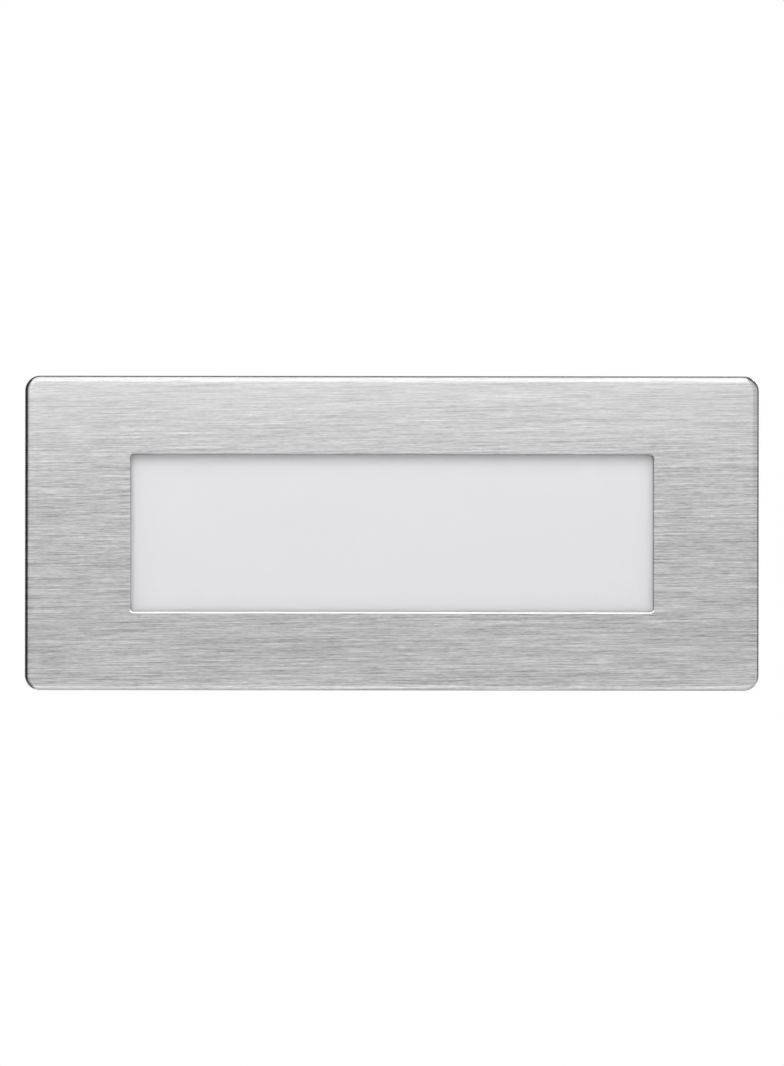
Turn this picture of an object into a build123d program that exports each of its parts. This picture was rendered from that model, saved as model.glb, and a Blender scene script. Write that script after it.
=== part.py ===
from build123d import *
from math import atan, cos, degrees, pi, radians, sin, sqrt
import os

# Recessed marker light: a brushed steel faceplate over an opal diffuser, on a moulded housing
# that holds the LED light engine and its driver, kept in the wall by two sprung clips.
# Frame: origin at the centre of the wall's face, +X to the right, +Z up, +Y into the wall.
# The faceplate looks along -Y. Sizes are in millimetres and angles in degrees.

# Faceplate, a drawn tray of brushed sheet
window_width = 87.5
window_height = 26.3
window_corner_radius = 0.5
window_edge_round = 0.35
border_side = 17.75
border_top = 13.2
plate_corner_radius = 2.5
plate_sheet = 0.8
plate_bend_radius = 0.3
plate_depth = 6.0
plate_wall_gap = 0.5

# Front seals and diffuser
tape_thickness = 0.4
tape_inset = 0.8
tape_window_gap = 2.0
diffuser_thickness = 1.5
diffuser_rib_depth = 2.0
diffuser_rib_wall = 1.2
diffuser_clearance = 0.2
diffuser_seal_thickness = 1.4
diffuser_seal_inset = 0.5
wall_gasket_thickness = 1.5
wall_gasket_width = 2.6
wall_gasket_inset = 0.6

# Housing
flange_clearance = 0.25
flange_fillet = 0.8
chamber_margin = 4.0
seat_ledge = 4.25
housing_wall = 2.5
housing_corner_radius = 3.0
housing_web = 2.0
inner_corner_radius = 1.0
light_chamber_depth = 11.4
column_radius = 3.2
column_inset = 2.6
boss_radius = 2.6
rib_width = 1.4
rib_height = 1.1
rib_spacing = 30.0
rib_length = 25.0
rib_lead_in = 0.9
clip_pad_depth = 2.5

# Light engine
inner_clearance = 0.3
reflector_wall = 1.2
reflector_slope_inset = 4.0
reflector_led_hole = 2.6
led_board_gap = 1.6
led_board_thickness = 1.6
led_columns = 6
led_rows = 2
led_length = 3.5
led_width = 2.8
led_height = 0.8
led_phosphor_inset = 0.4
led_phosphor_depth = 0.25
thermal_pad_thickness = 0.5
thermal_pad_inset = 1.0
spreader_thickness = 1.5

# Driver board and its components
driver_board_thickness = 1.6
driver_standoff = 4.0
driver_board_end_gap = 0.95
driver_board_edge_gap = 2.0
driver_screw_inset = 3.2
driver_headroom = 3.0
capacitor_radius = 3.15
capacitor_height = 11.0
capacitor_groove = 0.4
capacitor_groove_height = 1.5
film_capacitor_width = 5.0
film_capacitor_length = 10.5
film_capacitor_height = 9.5
film_capacitor_round = 0.6
choke_radius = 3.5
choke_height = 9.0
choke_bore = 1.2
choke_bore_depth = 1.0
varistor_radius = 3.9
varistor_thickness = 3.6
fuse_radius = 1.5
fuse_length = 7.0
lead_radius = 0.35
lead_rise = 1.2
lead_reach = 1.0
lead_bend_radius = 0.7
bridge_width = 5.0
bridge_length = 6.5
bridge_height = 2.5
bridge_pin_pitch = 4.0
chip_width = 4.0
chip_length = 5.0
chip_height = 1.5
chip_pin_pitch = 1.27
package_pin_width = 0.5
package_pin_reach = 1.0
package_pin_thickness = 0.3
terminal_width = 9.0
terminal_length = 10.2
terminal_height = 10.0
terminal_pitch = 5.08
terminal_chamfer = 1.2
terminal_well_radius = 1.9
terminal_well_depth = 4.5
terminal_screw_height = 2.5
terminal_entry_radius = 1.6
terminal_entry_depth = 5.5
terminal_entry_rise = 3.0
link_pitch = 2.54
link_pin_side = 0.64
link_pin_clearance = 0.05
link_header_width = 2.5
link_header_height = 2.5
link_tail = 0.8
link_slot_margin = 1.2

# Rear seal, rear cover and cable gland
rear_seal_thickness = 1.0
rear_seal_inset = 0.4
rear_seal_column_gap = 0.2
cover_thickness = 3.0
cover_panel_inset = 7.5
cover_panel_depth = 0.6
cover_edge_chamfer = 0.6
cover_gland_pad = 1.0
gland_thread_radius = 6.0
gland_thread_length = 5.0
gland_hex_margin = 1.5
gland_hex_height = 4.5
gland_bore_radius = 3.6
gland_collet_step = 0.4
gland_collet_length = 5.5
gland_collet_slits = 6
gland_collet_slit_width = 0.8
gland_collet_slit_length = 3.5
gland_washer_thickness = 1.0
gland_washer_margin = 1.4
gland_locknut_margin = 2.5
gland_locknut_height = 4.0
gland_seal_bore = 3.25
gland_seal_radius = 4.6
gland_seal_length = 7.5
gland_nut_length = 11.0
gland_nut_mouth = 4.0
gland_nut_dome = 3.5
gland_nut_dome_inset = 0.3
gland_nut_dome_round = 2.4
gland_nut_gap = 0.3
gland_nut_roof = 2.5
gland_fit = 0.06

# Screws
small_head_radius = 1.8
small_head_height = 1.2
small_shank_radius = 1.0
small_screw_bite = 3.2
cover_head_radius = 2.4
cover_head_height = 1.5
cover_shank_radius = 1.4
cover_screw_bite = 7.0
screw_hole_clearance = 0.05
screw_pass_clearance = 0.2
screw_tip_gap = 0.4
screw_head_gap = 0.3
recess_share = 0.6
recess_width = 0.5
recess_depth = 0.7

# Sprung clips at the two ends
clip_sheet = 0.8
clip_bend_radius = 0.4
clip_bend_relief = 0.6
clip_corner_radius = 1.0
clip_rest_angle = 15.0
clip_pin_radius = 1.0
clip_pin_head_radius = 1.7
clip_pin_head_height = 0.8
clip_pin_clearance = 0.05
clip_pin_from_rear = 7.0
clip_lug_inner = 5.3
clip_lug_radius = 1.65
clip_lug_reach = 5.0
clip_ear_gap = 0.3
clip_ear_radius = 2.2
clip_ear_foot = 3.2
clip_base_forward = 10.5
clip_screw_forward = 8.0
clip_screw_spread = 8.4
arm_length = 16.0
arm_heel = 2.1
arm_heel_drop = 1.2
arm_tip_radius = 2.0
sleeve_wall = 0.7
sleeve_cover = 5.5
spring_wire_radius = 0.3
spring_bore_gap = 0.25
spring_gap = 0.1
spring_pitch = 1.1
spring_full_turns = 4
spring_fixed_leg = 6.0
spring_moving_leg = 9.0

# Widths and heights that follow from the window
plate_width = window_width + 2 * border_side
plate_height = window_height + 2 * border_top
plate_edge_radius = plate_bend_radius + plate_sheet
tray_width = plate_width - 2 * plate_sheet
tray_height = plate_height - 2 * plate_sheet
tray_corner_radius = plate_corner_radius - plate_sheet
flange_width = tray_width - 2 * flange_clearance
flange_height = tray_height - 2 * flange_clearance
flange_corner_radius = tray_corner_radius - flange_clearance
gasket_width = flange_width - 2 * wall_gasket_inset
gasket_height = flange_height - 2 * wall_gasket_inset
cavity_width = window_width + 2 * chamber_margin
cavity_height = window_height + 2 * chamber_margin
box_width = cavity_width + 2 * housing_wall
box_height = cavity_height + 2 * housing_wall
diffuser_width = cavity_width + 2 * seat_ledge
diffuser_height = cavity_height + 2 * seat_ledge
pocket_width = diffuser_width + 2 * diffuser_clearance
pocket_height = diffuser_height + 2 * diffuser_clearance
pocket_corner_radius = inner_corner_radius + diffuser_clearance
reflector_width = cavity_width - 2 * inner_clearance
reflector_height = cavity_height - 2 * inner_clearance
reflector_floor_width = reflector_width - 2 * reflector_slope_inset
reflector_floor_height = reflector_height - 2 * reflector_slope_inset
reflector_corner_radius = inner_corner_radius + reflector_wall
led_board_width = cavity_width - 2 * led_board_gap
led_board_height = cavity_height - 2 * led_board_gap
led_pitch_x = (reflector_floor_width - 2 * reflector_wall) / led_columns
led_pitch_z = (reflector_floor_height - 2 * reflector_wall) / led_rows
led_window_length = led_length - 2 * led_phosphor_inset
led_window_width = led_width - 2 * led_phosphor_inset
column_x = cavity_width / 2 - column_inset
column_z = cavity_height / 2 - column_inset
driver_board_width = 2 * (column_x - column_radius - driver_board_end_gap)
driver_board_height = cavity_height - 2 * driver_board_edge_gap
link_hole_radius = link_pin_side / sqrt(2) + link_pin_clearance
link_slot_width = link_pitch + link_pin_side + 2 * link_slot_margin
link_slot_height = link_pin_side + 2 * link_slot_margin
rear_seal_inner = column_radius - column_inset + rear_seal_column_gap
small_pass_radius = small_shank_radius + screw_pass_clearance
small_pilot_radius = small_shank_radius + screw_hole_clearance
gland_hex = 2 * (gland_thread_radius + gland_hex_margin)
gland_locknut_hex = 2 * (gland_thread_radius + gland_locknut_margin)
gland_washer_radius = gland_thread_radius + gland_washer_margin
gland_collet_radius = gland_thread_radius - gland_collet_step

# Depths, from the front of the plate back into the wall
front_y = -(plate_depth + plate_wall_gap)
rim_y = -plate_wall_gap
sheet_back_y = front_y + plate_sheet
flange_front_y = sheet_back_y + tape_thickness
flange_back_y = -wall_gasket_thickness
rib_end_y = flange_back_y + rib_length
diffuser_back_y = flange_front_y + diffuser_thickness
diffuser_rib_y = diffuser_back_y + diffuser_rib_depth
pocket_floor_y = diffuser_back_y + diffuser_seal_thickness
reflector_front_y = diffuser_rib_y + inner_clearance
led_board_y = pocket_floor_y + light_chamber_depth
led_front_y = led_board_y - led_height
reflector_floor_y = led_board_y - reflector_wall
reflector_slope = degrees(atan(reflector_slope_inset / (led_board_y - reflector_front_y)))
thermal_pad_y = led_board_y + led_board_thickness
spreader_y = thermal_pad_y + thermal_pad_thickness
web_front_y = spreader_y + spreader_thickness
web_back_y = web_front_y + housing_web
light_screw_end_y = web_front_y + small_screw_bite
driver_board_y = web_back_y + driver_standoff
driver_screw_end_y = driver_board_y - small_screw_bite
driver_back_y = driver_board_y + driver_board_thickness
housing_rear_y = driver_back_y + capacitor_height + driver_headroom
cover_front_y = housing_rear_y + rear_seal_thickness
cover_back_y = cover_front_y + cover_thickness
cover_seat_y = cover_back_y - cover_head_height
cover_screw_end_y = cover_front_y - cover_screw_bite
gland_thread_y = cover_front_y - gland_thread_length
gland_flange_y = cover_back_y + gland_washer_thickness
gland_collet_y = gland_flange_y + gland_hex_height
gland_collet_end_y = gland_collet_y + gland_collet_length
gland_nut_y = gland_collet_y + gland_nut_gap
gland_nut_end_y = gland_nut_y + gland_nut_length
gland_seal_end_y = gland_nut_end_y - gland_nut_roof
gland_seal_y = gland_seal_end_y - gland_seal_length

# Places of screws and driver components
column_spots = [(x, z) for x in (-column_x, column_x) for z in (-column_z, column_z)]
driver_screw_x = driver_board_width / 2 - driver_screw_inset
driver_screw_z = driver_board_height / 2 - driver_screw_inset
driver_spots = [(x, z) for x in (-driver_screw_x, driver_screw_x) for z in (-driver_screw_z, driver_screw_z)]
light_screw_spots = [(-2 * led_pitch_x, 0), (2 * led_pitch_x, 0)]
link_spots = [(-link_pitch / 2, 0), (link_pitch / 2, 0)]
component_x = [driver_board_width / 2 * (-0.80 + 0.245 * column) for column in range(4)]
component_z = driver_board_height / 2 * 0.46
terminal_x = driver_board_width / 2 * 0.78
terminal_spots = [(terminal_x, -terminal_pitch / 2), (terminal_x, terminal_pitch / 2)]
gland_spot = (driver_board_width / 2 * 0.34, 0)

# Right-hand clip; the left-hand clip is its mirror image
coil_radius = clip_pin_radius + spring_bore_gap + spring_wire_radius
clip_pin_offset = clip_sheet + spring_gap + spring_wire_radius + coil_radius
clip_pin_x = box_width / 2 + clip_pin_offset
clip_pin_y = housing_rear_y - clip_pin_from_rear
clip_screw_y = clip_pin_y - clip_screw_forward
clip_screw_spots = [(clip_screw_y, -clip_screw_spread / 2), (clip_screw_y, clip_screw_spread / 2)]
arm_inner = coil_radius + spring_wire_radius + spring_gap
arm_outer = arm_inner + clip_sheet
arm_half_width = clip_lug_inner + clip_sheet
arm_neck_half_width = clip_lug_inner - clip_bend_radius
clip_ear_inner = arm_half_width + clip_ear_gap
clip_ear_outer = clip_ear_inner + clip_sheet
clip_neck_half_width = clip_ear_inner - clip_bend_radius
arm_along = Vector(sin(radians(clip_rest_angle)), -cos(radians(clip_rest_angle)), 0)
arm_outward = Vector(cos(radians(clip_rest_angle)), sin(radians(clip_rest_angle)), 0)
clip_pin_center = Vector(clip_pin_x, clip_pin_y, 0)
pin_plane = Plane(origin=clip_pin_center, x_dir=(1, 0, 0), z_dir=(0, 0, 1))
arm_side_plane = Plane(origin=clip_pin_center, x_dir=arm_along, z_dir=(0, 0, 1))
arm_face_plane = Plane(origin=clip_pin_center + arm_outward * arm_inner, x_dir=arm_along, z_dir=arm_outward)
arm_root_plane = Plane(origin=clip_pin_center - arm_along * arm_heel, x_dir=(0, 0, 1), z_dir=arm_along)
ear_root = Vector(box_width / 2, clip_pin_y - clip_ear_foot, 0)
ear_root_plane = Plane(origin=ear_root, x_dir=(0, 0, 1), z_dir=(0, 1, 0))


def facing(y):
    """Sketch plane that looks out of the wall at depth y, with X and Z as its axes."""
    return Plane.XZ.offset(-y)


def rearward(y):
    """Seat plane that looks into the wall at depth y, for patterns that are alike above and below."""
    return Plane(origin=(0, y, 0), x_dir=(1, 0, 0), z_dir=(0, 1, 0))


def slab(width, height, radius, y_front, y_back, mode=Mode.ADD, center=(0, 0)):
    """Add or cut a rounded rectangular slab between two depths."""
    with BuildSketch(facing(y_front)) as outline:
        with Locations(center):
            RectangleRounded(width, height, radius)
    extrude(outline.sketch, amount=y_front - y_back, mode=mode)


def discs(radius, spots, y_front, y_back, mode=Mode.ADD):
    """Add or cut round bars along Y at the given spots."""
    with BuildSketch(facing(y_front)) as outline:
        with Locations(*spots):
            Circle(radius)
    extrude(outline.sketch, amount=y_front - y_back, mode=mode)


def hexagon(across_flats, center, y_front, y_back):
    """Add a hexagonal bar along Y."""
    with BuildSketch(facing(y_front)) as outline:
        with Locations(center):
            RegularPolygon(across_flats / 2, 6, major_radius=False)
    extrude(outline.sketch, amount=y_front - y_back)


def flat_faces(piece):
    """Faces square to Y, front one first."""
    return piece.faces().filter_by(Axis.Y).sort_by(Axis.Y)


def sloped_edges(piece):
    """Edges that the last step made between the front and the back of a tapered piece."""
    return piece.edges(Select.LAST).filter_by(lambda edge: edge.bounding_box().size.Y > reflector_wall)


def screws(seat, spots, head_radius, head_height, shank_radius, length):
    """Pan head screws with a cross recess, on a seat plane that faces out of their heads."""
    with BuildPart() as group:
        with BuildSketch(seat):
            with Locations(*spots):
                Circle(head_radius)
        extrude(amount=head_height)
        outward = Axis((0, 0, 0), seat.z_dir)
        fillet(group.edges().filter_by(GeomType.CIRCLE).group_by(outward)[-1], head_height / 2)
        with BuildSketch(seat):
            with Locations(*spots):
                Circle(shank_radius)
        extrude(amount=-length)
        with BuildSketch(seat.offset(head_height)):
            with Locations(*spots):
                Rectangle(2 * head_radius * recess_share, recess_width)
                Rectangle(recess_width, 2 * head_radius * recess_share)
        extrude(amount=-recess_depth, mode=Mode.SUBTRACT)
    return group


def small_screws(seat, spots, clamped):
    """Small screws that hold a stack of the given thickness and bite into the plastic behind it."""
    length = clamped + small_screw_bite
    return screws(seat, spots, small_head_radius, small_head_height, small_shank_radius, length)


def package(width, length, height, pins, pin_pitch, center):
    """Moulded chip package on the driver board with a row of pins along each side."""
    with BuildPart() as chip:
        with BuildSketch(facing(driver_back_y)):
            with Locations(center):
                with GridLocations(0, pin_pitch, 1, pins):
                    Rectangle(width + 2 * package_pin_reach, package_pin_width)
        extrude(amount=-package_pin_thickness)
        slab(width, length, package_pin_thickness, driver_back_y, driver_back_y + height, center=center)
    return chip


def mirrored(piece):
    """The left-hand twin of a right-hand piece."""
    with BuildPart() as twin:
        mirror(piece.part, about=Plane.YZ)
    return twin


def bent_channel(root, half_width, web, leg_end, length):
    """Add a channel bent from the clips' sheet: a web with a leg at each side, drawn on the root plane."""
    leg = half_width - clip_sheet / 2
    with BuildSketch(root) as section:
        with BuildLine():
            FilletPolyline((-leg, leg_end), (-leg, web), (leg, web), (leg, leg_end),
                           radius=clip_bend_radius + clip_sheet / 2)
        trace(line_width=clip_sheet)
    extrude(section.sketch, amount=length)


def arm_outline(start, stop, half_width, tip_radius):
    """Outline of the clip arm's strip, or of its sleeve, with rounded corners at the tip."""
    with BuildSketch(arm_face_plane) as outline:
        with Locations((start, 0)):
            Rectangle(stop - start, 2 * half_width, align=(Align.MIN, Align.CENTER))
        fillet(outline.vertices().sort_by(Axis.X)[-2:], tip_radius)
    return outline.sketch


def biarc(start, start_tangent, end, end_tangent):
    """Two arcs that join two points along the given directions, for one quarter turn of wire."""
    chord = end - start
    spread = 2 * (1 - start_tangent.dot(end_tangent))
    along = chord.dot(start_tangent + end_tangent)
    reach = (-along + sqrt(along ** 2 + 2 * spread * chord.dot(chord))) / (2 * spread)
    first_handle = start + start_tangent * reach
    second_handle = end - end_tangent * reach
    middle = (first_handle + second_handle) / 2
    TangentArc(start, middle, tangent=start_tangent)
    TangentArc(middle, end, tangent=second_handle - first_handle)


# Faceplate: drawn tray with a rolled front edge and a pierced window
with BuildPart() as faceplate:
    slab(plate_width, plate_height, plate_corner_radius, front_y, rim_y)
    fillet(flat_faces(faceplate)[0].edges(), plate_edge_radius)
    slab(tray_width, tray_height, tray_corner_radius, sheet_back_y, rim_y, Mode.SUBTRACT)
    fillet(flat_faces(faceplate)[1].edges(), plate_bend_radius)
    slab(window_width, window_height, window_corner_radius, front_y, sheet_back_y, Mode.SUBTRACT)
    fillet(flat_faces(faceplate)[0].inner_wires()[0].edges(), window_edge_round)

# Foam tape frame that bonds the faceplate to the housing flange and to the diffuser's rim
with BuildPart() as faceplate_tape:
    slab(flange_width - 2 * tape_inset, flange_height - 2 * tape_inset, inner_corner_radius,
         sheet_back_y, flange_front_y)
    slab(window_width + 2 * tape_window_gap, window_height + 2 * tape_window_gap, inner_corner_radius,
         sheet_back_y, flange_front_y, Mode.SUBTRACT)

# Opal diffuser: flat lens flush with the flange, with a rib behind it that centres it in the light chamber
with BuildPart() as diffuser:
    slab(reflector_width, reflector_height, reflector_corner_radius, diffuser_back_y, diffuser_rib_y)
    slab(reflector_width - 2 * diffuser_rib_wall, reflector_height - 2 * diffuser_rib_wall,
         inner_corner_radius, diffuser_back_y, diffuser_rib_y, Mode.SUBTRACT)
    slab(diffuser_width, diffuser_height, inner_corner_radius, flange_front_y, diffuser_back_y)

# Silicone frame between diffuser and housing
with BuildPart() as diffuser_seal:
    slab(diffuser_width - 2 * diffuser_seal_inset, diffuser_height - 2 * diffuser_seal_inset,
         inner_corner_radius, diffuser_back_y, pocket_floor_y)
    slab(cavity_width + 2 * diffuser_seal_inset, cavity_height + 2 * diffuser_seal_inset,
         inner_corner_radius, diffuser_back_y, pocket_floor_y, Mode.SUBTRACT)

# Foam frame that seals the flange to the wall
with BuildPart() as wall_gasket:
    slab(gasket_width, gasket_height, inner_corner_radius, flange_back_y, 0)
    slab(gasket_width - 2 * wall_gasket_width, gasket_height - 2 * wall_gasket_width,
         inner_corner_radius, flange_back_y, 0, Mode.SUBTRACT)

# Moulded housing: flange, and a box with a web between the light chamber and the driver chamber
with BuildPart() as housing:
    slab(flange_width, flange_height, flange_corner_radius, flange_front_y, flange_back_y)
    slab(box_width, box_height, housing_corner_radius, flange_back_y, housing_rear_y)
    fillet(flat_faces(housing)[1].inner_wires()[0].edges(), flange_fillet)
    # Ribs on the top and bottom that centre the box in the wall's cut-out
    with BuildSketch(facing(flange_back_y)):
        with GridLocations(rib_spacing, box_height, 3, 2):
            Rectangle(rib_width, 2 * rib_height)
    extrude(amount=-rib_length)
    rib_ends = housing.edges().filter_by(Axis.X).filter_by_position(Axis.Y, rib_end_y, rib_end_y)
    rib_ends = rib_ends.group_by(Axis.Z)
    chamfer(rib_ends[0] + rib_ends[-1], rib_lead_in)
    slab(pocket_width, pocket_height, pocket_corner_radius, flange_front_y, pocket_floor_y, Mode.SUBTRACT)
    slab(cavity_width, cavity_height, inner_corner_radius, pocket_floor_y, web_front_y, Mode.SUBTRACT)
    slab(cavity_width, cavity_height, inner_corner_radius, web_back_y, housing_rear_y, Mode.SUBTRACT)
    # Corner columns stand proud of the rim by the rear seal's thickness, so the cover stops on them
    discs(column_radius, column_spots, web_back_y, cover_front_y)
    discs(boss_radius, driver_spots, web_back_y, driver_board_y)
    discs(boss_radius, light_screw_spots, web_back_y, light_screw_end_y + 2 * screw_tip_gap)
    # Thickened end walls behind the clips' screws
    with BuildSketch(facing(web_back_y)):
        with GridLocations(cavity_width - clip_pad_depth, 0, 2, 1):
            Rectangle(clip_pad_depth, clip_screw_spread + 2 * boss_radius)
    extrude(amount=web_back_y - clip_screw_y - boss_radius)
    # Blind holes for the screws and a slot in the web for the link pins
    discs(cover_shank_radius + screw_hole_clearance, column_spots,
          cover_screw_end_y - screw_tip_gap, cover_front_y, Mode.SUBTRACT)
    discs(small_pilot_radius, driver_spots,
          driver_screw_end_y - screw_tip_gap, driver_board_y, Mode.SUBTRACT)
    discs(small_pilot_radius, light_screw_spots,
          web_front_y, light_screw_end_y + screw_tip_gap, Mode.SUBTRACT)
    slab(link_slot_width, link_slot_height, link_slot_margin, web_front_y, web_back_y, Mode.SUBTRACT)
    for side in (-1, 1):
        with BuildSketch(Plane.YZ.offset(side * box_width / 2)):
            with Locations(*clip_screw_spots):
                Circle(small_pilot_radius)
        extrude(amount=-side * (small_screw_bite + screw_tip_gap), mode=Mode.SUBTRACT)

# Reflector: tapered white light box whose floor is pierced for the LEDs
with BuildPart() as reflector:
    with BuildSketch(facing(reflector_front_y)):
        Rectangle(reflector_width, reflector_height)
    extrude(amount=reflector_front_y - led_board_y, taper=reflector_slope)
    fillet(sloped_edges(reflector), reflector_corner_radius)
    with BuildSketch(facing(reflector_front_y)):
        Rectangle(reflector_width - 2 * reflector_wall, reflector_height - 2 * reflector_wall)
    extrude(amount=reflector_front_y - reflector_floor_y, taper=reflector_slope, mode=Mode.SUBTRACT)
    fillet(sloped_edges(reflector), inner_corner_radius)
    with BuildSketch(facing(reflector_floor_y)):
        with GridLocations(led_pitch_x, led_pitch_z, led_columns, led_rows):
            Circle(reflector_led_hole)
        with Locations(*light_screw_spots):
            Circle(small_pass_radius)
        RectangleRounded(link_slot_width, link_slot_height, link_slot_margin)
    extrude(amount=-reflector_wall, mode=Mode.SUBTRACT)

# LED board with its packages, on a thermal pad and an aluminium spreader
with BuildPart() as led_board:
    slab(led_board_width, led_board_height, inner_corner_radius, led_board_y, thermal_pad_y)
    discs(small_pass_radius, light_screw_spots, led_board_y, thermal_pad_y, Mode.SUBTRACT)
    discs(link_hole_radius, link_spots, led_board_y, thermal_pad_y, Mode.SUBTRACT)

with BuildPart() as leds:
    with BuildSketch(facing(led_board_y)):
        with GridLocations(led_pitch_x, led_pitch_z, led_columns, led_rows):
            Rectangle(led_length, led_width)
    extrude(amount=led_height)
    with BuildSketch(facing(led_front_y)):
        with GridLocations(led_pitch_x, led_pitch_z, led_columns, led_rows):
            Rectangle(led_window_length, led_window_width)
    extrude(amount=-led_phosphor_depth, mode=Mode.SUBTRACT)

with BuildPart() as led_phosphors:
    with BuildSketch(facing(led_front_y)):
        with GridLocations(led_pitch_x, led_pitch_z, led_columns, led_rows):
            Rectangle(led_window_length, led_window_width)
    extrude(amount=-led_phosphor_depth)

with BuildPart() as thermal_pad:
    slab(led_board_width - 2 * thermal_pad_inset, led_board_height - 2 * thermal_pad_inset,
         inner_corner_radius, thermal_pad_y, spreader_y)
    discs(small_pass_radius, light_screw_spots, thermal_pad_y, spreader_y, Mode.SUBTRACT)
    slab(link_slot_width, link_slot_height, link_slot_margin, thermal_pad_y, spreader_y, Mode.SUBTRACT)

with BuildPart() as heat_spreader:
    slab(led_board_width, led_board_height, inner_corner_radius, spreader_y, web_front_y)
    discs(small_pass_radius, light_screw_spots, spreader_y, web_front_y, Mode.SUBTRACT)
    slab(link_slot_width, link_slot_height, link_slot_margin, spreader_y, web_front_y, Mode.SUBTRACT)

light_engine_screws = small_screws(facing(reflector_floor_y), light_screw_spots,
                                   web_front_y - reflector_floor_y)

# Driver board on the web's bosses, linked to the LED board by two pins through the web
with BuildPart() as driver_board:
    slab(driver_board_width, driver_board_height, inner_corner_radius, driver_board_y, driver_back_y)
    discs(small_pass_radius, driver_spots, driver_board_y, driver_back_y, Mode.SUBTRACT)
    discs(link_hole_radius, link_spots, driver_board_y, driver_back_y, Mode.SUBTRACT)

driver_board_screws = small_screws(rearward(driver_back_y), driver_spots, driver_board_thickness)

with BuildPart() as link_header:
    link_header_y = driver_board_y - link_header_height
    slab(2 * link_pitch, link_header_width, link_header_width / 6, link_header_y, driver_board_y)
    discs(link_hole_radius, link_spots, link_header_y, driver_board_y, Mode.SUBTRACT)

with BuildPart() as link_pins:
    with BuildSketch(facing(led_board_y - link_tail)):
        with Locations(*link_spots):
            Rectangle(link_pin_side, link_pin_side)
    extrude(amount=led_board_y - driver_back_y - 2 * link_tail)

# Driver components, in columns across the board
with BuildPart() as varistor:
    disc_y = driver_back_y + lead_rise + varistor_radius
    with BuildSketch(Plane.YZ.offset(component_x[0] - varistor_thickness / 2)):
        with Locations((disc_y, component_z)):
            Circle(varistor_radius)
    extrude(amount=varistor_thickness)
    fillet(varistor.edges().filter_by(GeomType.CIRCLE), varistor_thickness / 3)
    legs = [(component_x[0], component_z + offset) for offset in (-varistor_radius / 2, varistor_radius / 2)]
    discs(lead_radius, legs, driver_back_y, disc_y)

with BuildPart() as fuse_resistor:
    axis_y = driver_back_y + lead_rise + fuse_radius
    first_leg_z = -component_z - fuse_length / 2 - lead_reach
    last_leg_z = -component_z + fuse_length / 2 + lead_reach
    with BuildLine() as fuse_lead:
        FilletPolyline((component_x[0], driver_back_y, first_leg_z), (component_x[0], axis_y, first_leg_z),
                       (component_x[0], axis_y, last_leg_z), (component_x[0], driver_back_y, last_leg_z),
                       radius=lead_bend_radius)
    with BuildSketch(Plane(origin=(component_x[0], driver_back_y, first_leg_z), z_dir=(0, 1, 0))):
        Circle(lead_radius)
    sweep(path=fuse_lead.line)
    with BuildSketch(Plane.XY.offset(-component_z)):
        with Locations((component_x[0], axis_y)):
            Circle(fuse_radius)
    extrude(amount=fuse_length / 2, both=True)
    body_rims = fuse_resistor.edges(Select.LAST).filter_by(GeomType.CIRCLE).filter_by(
        lambda edge: edge.radius > fuse_radius / 2)
    fillet(body_rims, fuse_radius / 2)

with BuildPart() as film_capacitor:
    slab(film_capacitor_width, film_capacitor_length, film_capacitor_round,
         driver_back_y, driver_back_y + film_capacitor_height, center=(component_x[1], component_z))
    fillet(flat_faces(film_capacitor)[-1].edges(), film_capacitor_round / 2)

bridge_rectifier = package(bridge_width, bridge_length, bridge_height, 2, bridge_pin_pitch,
                           (component_x[1], -component_z))

with BuildPart() as electrolytic_capacitor:
    can_spot = (component_x[2], component_z)
    groove_y = driver_back_y + capacitor_groove_height
    discs(capacitor_radius, [can_spot], driver_back_y, driver_back_y + capacitor_height)
    fillet(flat_faces(electrolytic_capacitor)[-1].edges(), capacitor_groove)
    with BuildSketch(facing(groove_y)):
        with Locations(can_spot):
            Circle(capacitor_radius)
            Circle(capacitor_radius - capacitor_groove, mode=Mode.SUBTRACT)
    extrude(amount=-2 * capacitor_groove, mode=Mode.SUBTRACT)

with BuildPart() as choke:
    choke_spot = (component_x[2], -component_z)
    choke_end_y = driver_back_y + choke_height
    discs(choke_radius, [choke_spot], driver_back_y, choke_end_y)
    fillet(flat_faces(choke)[-1].edges(), choke_radius / 5)
    discs(choke_bore, [choke_spot], choke_end_y - choke_bore_depth, choke_end_y, Mode.SUBTRACT)

driver_chip = package(chip_width, chip_length, chip_height, 4, chip_pin_pitch, (component_x[3], component_z))

# Supply terminal with its wire entries towards the gland and its screws towards the cover
with BuildPart() as terminal_block:
    terminal_end_y = driver_back_y + terminal_height
    with BuildSketch(Plane.XY) as terminal_profile:
        with Locations((terminal_x, driver_back_y)):
            Rectangle(terminal_width, terminal_height, align=(Align.CENTER, Align.MIN))
        chamfer(terminal_profile.vertices().group_by(Axis.Y)[-1], terminal_chamfer)
    extrude(amount=terminal_length / 2, both=True)
    well_floor_y = terminal_end_y - terminal_well_depth
    discs(terminal_well_radius, terminal_spots, well_floor_y, terminal_end_y, Mode.SUBTRACT)
    entry_spots = [(driver_back_y + terminal_entry_rise, z) for _, z in terminal_spots]
    with BuildSketch(Plane.YZ.offset(terminal_x - terminal_width / 2)):
        with Locations(*entry_spots):
            Circle(terminal_entry_radius)
    extrude(amount=terminal_entry_depth, mode=Mode.SUBTRACT)

with BuildPart() as terminal_screws:
    discs(terminal_well_radius - screw_hole_clearance, terminal_spots,
          well_floor_y, well_floor_y + terminal_screw_height)
    with BuildSketch(facing(well_floor_y + terminal_screw_height)):
        with Locations(*terminal_spots):
            Rectangle(2 * terminal_well_radius, recess_width)
    extrude(amount=recess_depth, mode=Mode.SUBTRACT)

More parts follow.
